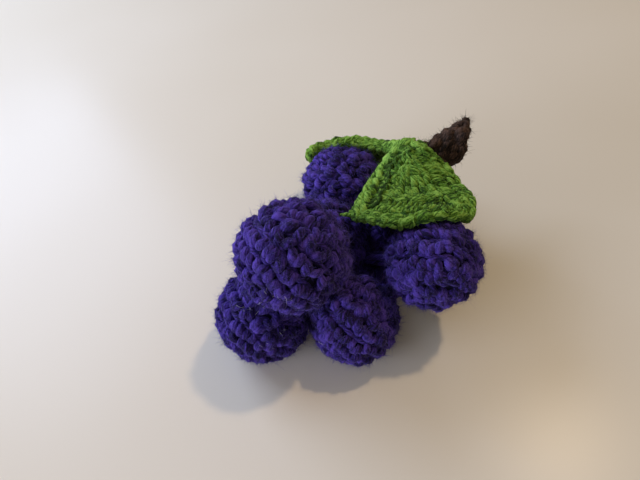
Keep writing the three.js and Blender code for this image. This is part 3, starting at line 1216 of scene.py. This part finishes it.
@dataclass
class Stem:
    """The stem: a short, thick crocheted tube with a slanted open end and a knot on its long corner.

    Attributes:
        start: Middle of its base.
        end: Middle of its open end.
        top: About the way to its long corner.
        profile: Its radius from the base to the open end, in millimetres.
        flatness: Its thickness from side to side as a share of its height.
        slant: How far the long corner stands out past the middle of the open end.
        seed: Start of its random draws.
    """

    start: Vector
    end: Vector
    top: Vector = field(default_factory=lambda: Vector((-0.4, 0.7, 0.64)))
    profile: tuple[float, ...] = (5.6, 6.6, 6.9, 6.8, 6.8, 6.9, 7.1, 6.8)
    flatness: float = 0.9
    slant: float = 4.2 * MM
    seed: int = 31

    STITCHES = 9
    ROWS = 5
    ROW_HEIGHT = 4.6 * MM
    # Share of a row's height where its stitches lie.
    ROW_MIDDLE = 0.45
    # Depth and number of the loops in each round that closes the open end, and how far the rounds dip.
    RIM = ((1.6 * MM, 9), (4.6 * MM, 5))
    RIM_DIP = 0.25
    RIM_YARN = 1.45 * MM
    RIM_TAPER = (0.6, 0.9, 1, 1, 0.9, 0.6)
    KNOT_LOOPS = 4
    KNOT_YARN = 1.0 * MM
    KNOT_TAPER = (0.7, 0.9, 1, 1, 0.9, 0.7)
    # The core ends short of the open end, as a share of the stem, and its end dips by this much.
    CORE_LENGTH = 0.96
    CORE_DIP = 2.0 * MM
    FUZZ = 4500

    def cleared(self, point: Vector, clear: float) -> Vector:
        """Move a point out of the stem.

        Args:
            point: The point.
            clear: Distance to keep from the stem's surface.

        Returns:
            The point, moved if it had to be.
        """
        axis = self.end - self.start
        share = min(max((point - self.start).dot(axis) / axis.length_squared, 0.0), 1.0)
        nearest = self.start + axis * share
        away = point - nearest
        reach = self.profile[1] * MM + clear
        return nearest + away.normalized() * reach if away.length < reach else point

    def axes(self) -> tuple[Vector, Vector, Vector]:
        """Give the ways along the stem, to its side and up to its long corner."""
        along = (self.end - self.start).normalized()
        side = self.top.cross(along).normalized()
        return along, side, along.cross(side)

    def at(self, share: float, around: float, deeper: float = 0.0) -> Vector:
        """Give a point on the stem's surface.

        Args:
            share: From 0 at the base to 1 at the open end.
            around: Angle round the stem, a quarter turn at the long corner.
            deeper: Distance below the surface.

        Returns:
            The point.
        """
        along, side, up = self.axes()
        where = min(max(share, 0.0), 1.0) * (len(self.profile) - 1)
        i = min(int(where), len(self.profile) - 2)
        radius = (self.profile[i] + (self.profile[i + 1] - self.profile[i]) * (where - i)) * MM - deeper
        forward = (self.end - self.start).length * share + self.slant * share**2 * math.sin(around)
        return (
            self.start
            + along * forward
            + side * (radius * self.flatness * math.cos(around))
            + up * (radius * math.sin(around))
        )

    def core(self) -> None:
        """Build the inside that shows between the stitches."""
        work = Crochet()
        add_tube(work.bm, 24, 8, 1, True)
        along = self.axes()[0]
        for vertex in work.bm.verts:
            share = vertex.co.z + 0.5
            if vertex.co.xy.length < Strand.ON_AXIS:
                vertex.co = self.start.lerp(self.end, share) - along * (share * self.CORE_DIP)
            else:
                around = math.atan2(vertex.co.y, vertex.co.x)
                lump = noise.noise(Vector((3 * share, 1.5 * math.cos(around), 1.5 * math.sin(around))))
                vertex.co = self.at(share * self.CORE_LENGTH, around, (0.5 + lump) * MM)
        bmesh.ops.recalc_face_normals(work.bm, faces=work.bm.faces)
        work.finished("stem_inside", Finish.BROWN)

    def place(self, row: int, number: int) -> Place:
        """Give the place of one of the stitches round the stem.

        Args:
            row: Its row from the base.
            number: Its number in the row.

        Returns:
            Its place.
        """
        share = (row + self.ROW_MIDDLE) / self.ROWS
        around = math.tau * (number + 0.5 * row) / self.STITCHES
        half = math.pi / self.STITCHES
        onward = (self.at(share + 0.05, around) - self.at(share - 0.05, around)).normalized()
        beside = (self.at(share, around + 0.1) - self.at(share, around - 0.1)).normalized()
        out = beside.cross(onward).normalized()
        width = (self.at(share, around + half) - self.at(share, around - half)).length
        return Place(self.at(share, around), beside, onward, out, width, self.ROW_HEIGHT)

    def skin(self) -> bpy.types.Object:
        """Work the rows of stitches round the stem, its rim and the knot on its corner.

        Returns:
            The stem's stitches.
        """
        work = Crochet(self.seed)
        stitch = Stitch(yarn=1.9 * MM, loose=1.9, sunk=0.8 * MM, flat=0.75, reach=0.5, bar=False)
        for row in range(self.ROWS):
            for number in range(self.STITCHES):
                stitch.work(work, self.place(row, number))
        self.rim(work)
        self.knot(work)
        piece = work.finished("stem_stitches", Finish.BROWN)
        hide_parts("stem")
        return piece

    def rim(self, work: Crochet) -> None:
        """Close the open end with two rounds of loops that dip to the middle.

        Args:
            work: The stem's stitches.
        """
        along = self.axes()[0]
        strand = Strand()
        for deeper, loops in self.RIM:
            for number in range(loops):
                start = math.tau * (number + work.draw.uniform(-0.15, 0.15)) / loops
                reach = math.tau / loops * 1.25
                line = []
                for i in range(6):
                    around = start + reach * (i / 5 - 0.5)
                    lift = (0.7 * math.sin(math.pi * i / 5) - 0.5 + work.draw.uniform(-0.15, 0.15)) * MM
                    line.append(self.at(1.0, around, deeper) + along * (lift - deeper * self.RIM_DIP))
                radius = [self.RIM_YARN * share for share in self.RIM_TAPER]
                strand.bend(work, line, along, radius, 0.9, work.draw.random())

    def knot(self, work: Crochet) -> None:
        """Tie the knot on the long corner of the end.

        Args:
            work: The stem's stitches.
        """
        along, _, up = self.axes()
        middle = self.at(1.0, math.pi / 2, 1.0 * MM) - along * 0.6 * MM
        side = along.cross(up)
        strand = Strand()
        for number in range(self.KNOT_LOOPS):
            tilt = math.pi * number / self.KNOT_LOOPS + work.draw.uniform(-0.2, 0.2)
            way = side * math.cos(tilt) + up * math.sin(tilt)
            line = []
            for i in range(6):
                angle = math.pi * (i / 5 - 0.5) * 1.2
                line.append(middle + (way * math.sin(angle) + along * math.cos(angle)) * 1.15 * MM)
            radius = [self.KNOT_YARN * share for share in self.KNOT_TAPER]
            strand.bend(work, line, along, radius, 1, work.draw.random())

    def build(self) -> None:
        """Build the stem, with loose fibres on its stitches."""
        self.core()
        fuzz = Fuzz(length=(0.9 * MM, 2.6 * MM), thickness=0.03 * MM)
        fibres = fuzz.cover(self.skin().data.vertices, self.FUZZ, self.seed + 1)
        fibres.finished("fuzz_stem", Finish.BROWN)


@dataclass
class Sewing:
    """The yarn that sews the bunch together: whip stitches over each seam, and tails tucked in between balls.

    Attributes:
        grapes: The grapes, by name.
        leaves: The front leaf and the back leaf.
        stem: The stem.
        seed: Start of its random draws.
        shape: The strand that is bent into every stitch.
    """

    grapes: dict[str, Grape]
    leaves: list[Leaf]
    stem: Stem
    seed: int = 91
    shape: Strand = field(default_factory=lambda: Strand(rings=8, turns=1.6))

    YARN = 1.2 * MM
    # How far a stitch reaches into what it sews, and the distance between the three over a seam.
    REACH = 8.5 * MM
    WHIP_PITCH = 2.2 * MM
    SEAMS = (
        ("back", "centre"),
        ("back", "under_leaf"),
        ("top", "tip"),
        ("top", "front"),
        ("tip", "front"),
        ("tip", "centre"),
        ("front", "right"),
        ("front", "centre"),
        ("right", "under_leaf"),
        ("centre", "under_leaf"),
    )
    # Two grapes, and where between them the tail of yarn is tucked, in millimetres on the table.
    TAILS = (
        ("centre", "under_leaf", (15.0, 13.0, 12.0)),
        ("front", "under_leaf", (18.5, 8.5, 10.0)),
        ("centre", "right", (15.5, 5.5, 19.0)),
        ("front", "centre", (10.5, 4.5, 12.0)),
        ("centre", "under_leaf", (16.0, 16.0, 6.0)),
        ("front", "right", (19.5, 2.5, 15.0)),
        ("centre", "under_leaf", (16.5, 11.0, 8.0)),
        ("centre", "under_leaf", (17.0, 13.5, 5.0)),
        ("centre", "under_leaf", (17.3, 15.5, 3.0)),
        ("front", "under_leaf", (19.3, 4.5, 7.0)),
        ("front", "under_leaf", (19.8, 6.0, 4.0)),
    )
    # Three strands at each tail: their spread, radius, least height and depth of their ends.
    TAIL_SPREAD = 1.3 * MM
    TAIL_YARN = 1.5 * MM
    TAIL_LOWEST = 3 * MM
    TAIL_SUNK = 2.5 * MM

    def strand(self, work: Crochet, points: list[Vector], radius: float) -> None:
        """Lay one strand through some points.

        Args:
            work: The piece.
            points: The points.
            radius: The strand's radius.
        """
        curve = Curve(points)
        rings = self.shape.rings
        line = [curve.at(i / (rings - 1)) for i in range(rings)]
        up = (points[-1] - points[0]).orthogonal().normalized()
        self.shape.bend(work, line, up, [radius] * rings, 0.95, work.draw.random())

    def whip(self, work: Crochet, middle: Vector, way: Vector) -> None:
        """Lay three slanting strands over a seam.

        Args:
            work: The piece.
            middle: The seam's middle.
            way: The way across it.
        """
        beside = way.orthogonal().normalized()
        for number in (-1, 0, 1):
            slant = beside * (number * self.WHIP_PITCH)
            lean = beside * (work.draw.uniform(0.8, 1.4) * MM)
            points = [
                middle + slant - lean - way * self.REACH,
                middle + slant + beside.cross(way) * (work.draw.uniform(-0.6, 0.6) * MM),
                middle + slant + lean + way * self.REACH,
            ]
            self.strand(work, points, self.YARN)

    def tail(self, work: Crochet, names: tuple[str, str], place: Point) -> None:
        """Tuck a tail of yarn in between two grapes.

        Args:
            work: The piece.
            names: The grapes' names.
            place: Where it is tucked in, in millimetres on the table.
        """
        for _ in range(3):
            through = table_mm(*place) + work.scattered(self.TAIL_SPREAD)
            through.z = max(through.z, self.TAIL_LOWEST)
            ends = []
            for grape in (self.grapes[name] for name in names):
                away = (through - grape.centre).normalized()
                ends.append(grape.centre + away * (grape.radius - self.TAIL_SUNK))
            self.strand(work, [ends[0], through, ends[1]], self.TAIL_YARN)

    def between(self) -> None:
        """Sew the grapes to each other."""
        work = Crochet(self.seed)
        for one, two in self.SEAMS:
            self.whip(work, *self.grapes[one].meets(self.grapes[two]))
        for one, two, place in self.TAILS:
            self.tail(work, (one, two), place)
        work.keep_above()
        piece = work.finished("sewing_grapes", Finish.PURPLE)
        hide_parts(*(f"tie_{one}_{two}" for one, two in self.SEAMS))

    def tie(self, name: str, points: list[Vector], finish: Finish, seed: int) -> None:
        """Sew a leaf or the stem on with one strand.

        Args:
            name: The name of what is sewn on.
            points: The strand's way.
            finish: The strand's finish.
            seed: Start of its random draws.
        """
        work = Crochet(seed)
        self.strand(work, points, self.YARN)
        piece = work.finished(f"sewing_{name}", finish)
        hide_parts(f"tie_{name}")

    def build(self) -> None:
        """Sew everything together."""
        self.between()
        under = (("under_leaf", 0.5, 0.4), ("back", 0.35, 0.6))
        for leaf, (grape, across, along) in zip(self.leaves, under, strict=True):
            at = leaf.surface(across, along)
            start = at - (at - self.grapes[grape].centre).normalized() * self.REACH
            self.tie(leaf.name, [start, start.lerp(at, 0.5), at], Finish.GREEN, self.seed + 1)
        onward = self.stem.axes()[0]
        points = [self.stem.start + onward * (self.REACH * share) for share in (-1, 0, 0.9)]
        self.tie("stem", points, Finish.BROWN, self.seed + 2)


@dataclass
class Lint:
    """A few light fibres caught in the purple yarn, most of them at the front left where the balls meet.

    Attributes:
        grapes: The grapes, by name.
        seed: Start of its random draws.
    """

    grapes: dict[str, Grape]
    seed: int = 17

    # Where they are caught, in millimetres on the table, and how far they are spread there.
    PLACES = (
        ("top", (-20.3, -27.5, 53.5)),
        ("top", (-16.9, -28.9, 50.6)),
        ("top", (-25.1, -26.2, 48.3)),
        ("tip", (-33.4, -17.5, 33.3)),
        ("tip", (-31.0, -19.3, 32.9)),
        ("tip", (-22.8, -24.8, 26.9)),
        ("tip", (-27.3, -28.1, 23.5)),
        ("front", (-8.2, -29.9, 16.7)),
        ("back", (2.5, 39.0, 29.0)),
    )
    SPREAD = 1.8 * MM
    # Height of their roots above the mean surface.
    ABOVE = 1.2 * MM

    def build(self) -> None:
        """Lay three fibres at each place."""
        work = Crochet(self.seed)
        fuzz = Fuzz(length=(0.9 * MM, 2.4 * MM), thickness=0.035 * MM)
        for name, place in self.PLACES:
            grape = self.grapes[name]
            for _ in range(3):
                at = table_mm(*place) + work.scattered(self.SPREAD)
                out = (at - grape.centre).normalized()
                fuzz.grow(work, grape.centre + out * (grape.radius + self.ABOVE), out)
        work.finished("lint", Finish.LINT)


@dataclass
class Bunch:
    """The whole bunch: the grapes, their leaves and the stem.

    Attributes:
        grapes: The grapes, filled in when the bunch is laid out.
    """

    grapes: list[Grape] = field(default_factory=list)

    # Each grape's radius and middle, in millimetres on the table, and the way that its starting ring faces.
    LAYOUT = {
        "back": (17.4, (8.4, 52.8, 16.6), (-0.5, 0.75, 0.43)),
        "top": (18.6, (-14.5, -9.5, 47.5), (-0.8, -0.39, -0.46)),
        "tip": (17.2, (-29.6, -11.3, 16.4), (-0.69, -0.35, -0.62)),
        "front": (16.5, (3.9, -17.0, 15.7), (-0.73, -0.39, -0.59)),
        "right": (16.3, RIGHT_GRAPE, (0.26, 0.83, 0.5)),
        "centre": (18.8, (-4.2, 16.8, 18.0), (-0.08, 0.87, 0.47)),
        "under_leaf": (18.8, (32.2, 24.0, 18.0), (0.9, 0.2, 0.35)),
    }
    # Middles of the stem's base and of its open end.
    STEM = ((37.5, 37.2, 37.2), (57.0, 40.7, 44.9))
    # Left side, middle and right side of each leaf, from where it is sewn on to its far edge.
    FRONT_LEAF = (
        [(34.6, 45.6, 43.8), (30.3, 46.8, 38), (25, 45.4, 32)]
        + [(18.6, 35.1, 33), (12.3, 24.5, 34), (7.8, 14.5, 36.5)],
        [(36.3, 43.5, 46), (34.3, 36.5, 46.8), (31, 28, 43.5)]
        + [(28.5, 19, 42), (27.5, 9.5, 45.5), (24.5, -6.5, 50.5)],
        [(37.6, 42.2, 46.2), (40.6, 34.6, 47.2), (47.2, 26.8, 44)]
        + [(51.3, 17, 42.6), (51.5, 6, 45), (47.8, -2, 46)],
    )
    BACK_LEAF = (
        [(34.5, 47, 39.5), (31, 54.5, 34.5), (26.5, 61, 31), (20, 66.5, 30)]
        + [(11, 69, 29.5), (2, 68, 28.7), (-5, 58.5, 30)],
        [(36, 49, 37), (34, 58, 28), (28.5, 66, 21), (18, 72.5, 17)]
        + [(11.5, 73.5, 16), (4.8, 73, 15), (-4, 68.5, 18)],
        [(37.5, 51, 34), (35, 60, 22), (27, 68, 13), (16, 71, 8)]
        + [(10.3, 70.5, 6), (6, 70.5, 6), (0, 70.3, 9)],
    )

    def __post_init__(self) -> None:
        """Lay out the grapes and the flats where they press on each other."""
        for seed, (name, (radius, centre, ring)) in enumerate(self.LAYOUT.items(), start=1):
            grape = Grape(name, radius * MM, table_mm(*centre), Vector(ring).normalized(), seed)
            for other in self.grapes:
                grape.press(other)
            self.grapes.append(grape)

    def leaf_points(self, leaves: list[Leaf]) -> KDTree:
        """Gather points all over the leaves, to find what lies near one.

        Args:
            leaves: The leaves.

        Returns:
            The points.
        """
        points = [point for leaf in leaves for point in leaf.points()]
        tree = KDTree(len(points))
        for number, point in enumerate(points):
            tree.insert(point, number)
        tree.balance()
        return tree

    def build(self) -> None:
        """Build every piece of the bunch."""
        stem = Stem(*(table_mm(*p) for p in self.STEM))
        leaves = [
            FrontLeaf("front_leaf", *self.FRONT_LEAF, (0.046, 0.056), self.grapes, stem, 51),
            Leaf("back_leaf", *self.BACK_LEAF, (0.030, 0.055), self.grapes, stem, 71),
        ]
        covered = self.leaf_points(leaves)
        for grape in self.grapes:
            grape.core()
            grape.halo(grape.skin(), covered)
        for leaf in leaves:
            leaf.build()
        stem.build()
        by_name = {grape.name: grape for grape in self.grapes}
        Sewing(by_name, leaves, stem).build()
        Lint(by_name).build()
        for name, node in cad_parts.items():
            if name.startswith("fill_"):
                Finish.STUFFING.dress(node)


@dataclass
class Studio:
    """The table, the lights and the camera.

    Attributes:
        focal_pixels: Focal length in pixels of the photo.
        frame_pixels: Width of the photo in pixels.
        aim: What the lamps point at, in millimetres on the table.
        stand: Where the camera is, in millimetres on the table.
    """

    focal_pixels: float = 500.0
    frame_pixels: float = 640.0
    aim: Point = (5, 10, 15)
    stand: Point = (-5.0, -113.6, 176.5)

    def table(self) -> None:
        """Lay the table top under the bunch."""
        bm = bmesh.new()
        bmesh.ops.create_grid(bm, x_segments=1, y_segments=1, size=2.0)
        mesh = bpy.data.meshes.new("table_top")
        bm.to_mesh(mesh)
        bm.free()
        top = bpy.data.objects.new("table_top", mesh)
        bpy.context.scene.collection.objects.link(top)
        Finish.TABLE.dress(top)

    def lamp(self, name: str, away: Vector, size: float, power: float, colour: str) -> None:
        """Hang a square lamp that faces the bunch.

        Args:
            name: The lamp's name.
            away: Where it hangs, from what it points at.
            size: Its side.
            power: Its power in watts.
            colour: Its colour.
        """
        light = bpy.data.lights.new(name, "AREA")
        light.shape = "SQUARE"
        light.size = size
        light.energy = power
        light.color = linear(colour)[:3]
        hung = bpy.data.objects.new(name, light)
        hung.location = table_mm(*self.aim) + away
        hung.rotation_euler = (-away).to_track_quat("-Z", "Y").to_euler()
        bpy.context.scene.collection.objects.link(hung)

    def lights(self) -> None:
        """Hang the window light, a low one at the left and the warm lamp that throws the lobed shadow."""
        self.lamp("window_light", Vector((-0.4, 0.36, 0.37)), 0.4, 3.0, "#cfe0ff")
        self.lamp("low_light", Vector((-0.55, -0.24, 0.07)), 0.3, 3.6, "#dfe6ff")
        self.lamp("warm_lamp", Vector((0.408, 0.183, 0.895)) * 1.3, 0.06, 4.2, "#ffe2b8")
        world = bpy.data.worlds.new("room")
        world.use_nodes = True
        shade = world.node_tree.nodes["Background"]
        shade.inputs["Color"].default_value = linear("#f4e8d6")
        shade.inputs["Strength"].default_value = 0.27
        bpy.context.scene.world = world

    def camera(self) -> None:
        """Set the camera close above the front of the bunch, turned a little as it was held."""
        right = Vector((0.992, -0.096, -0.081)).normalized()
        ahead = Vector((0.0, 0.646, -0.763)).normalized()
        up = right.cross(ahead).normalized()
        right = ahead.cross(up)
        lens = bpy.data.cameras.new("camera")
        lens.sensor_width = 36.0
        lens.lens = self.focal_pixels / self.frame_pixels * lens.sensor_width
        lens.clip_start = 0.01
        held = bpy.data.objects.new("camera", lens)
        turn = Matrix((right, up, -ahead)).transposed()
        held.matrix_world = Matrix.Translation(table_mm(*self.stand)) @ turn.to_4x4()
        bpy.context.scene.collection.objects.link(held)
        bpy.context.scene.camera = held

    def build(self) -> None:
        """Set up the table, the lights and the camera."""
        self.table()
        self.lights()
        self.camera()
        bpy.context.scene.view_settings.view_transform = "Standard"


def main() -> None:
    """Build the bunch and the studio."""
    logging.basicConfig(level=logging.INFO, format="%(name)s: %(message)s")
    Studio().build()
    Bunch().build()


if __name__ == "__main__":
    main()
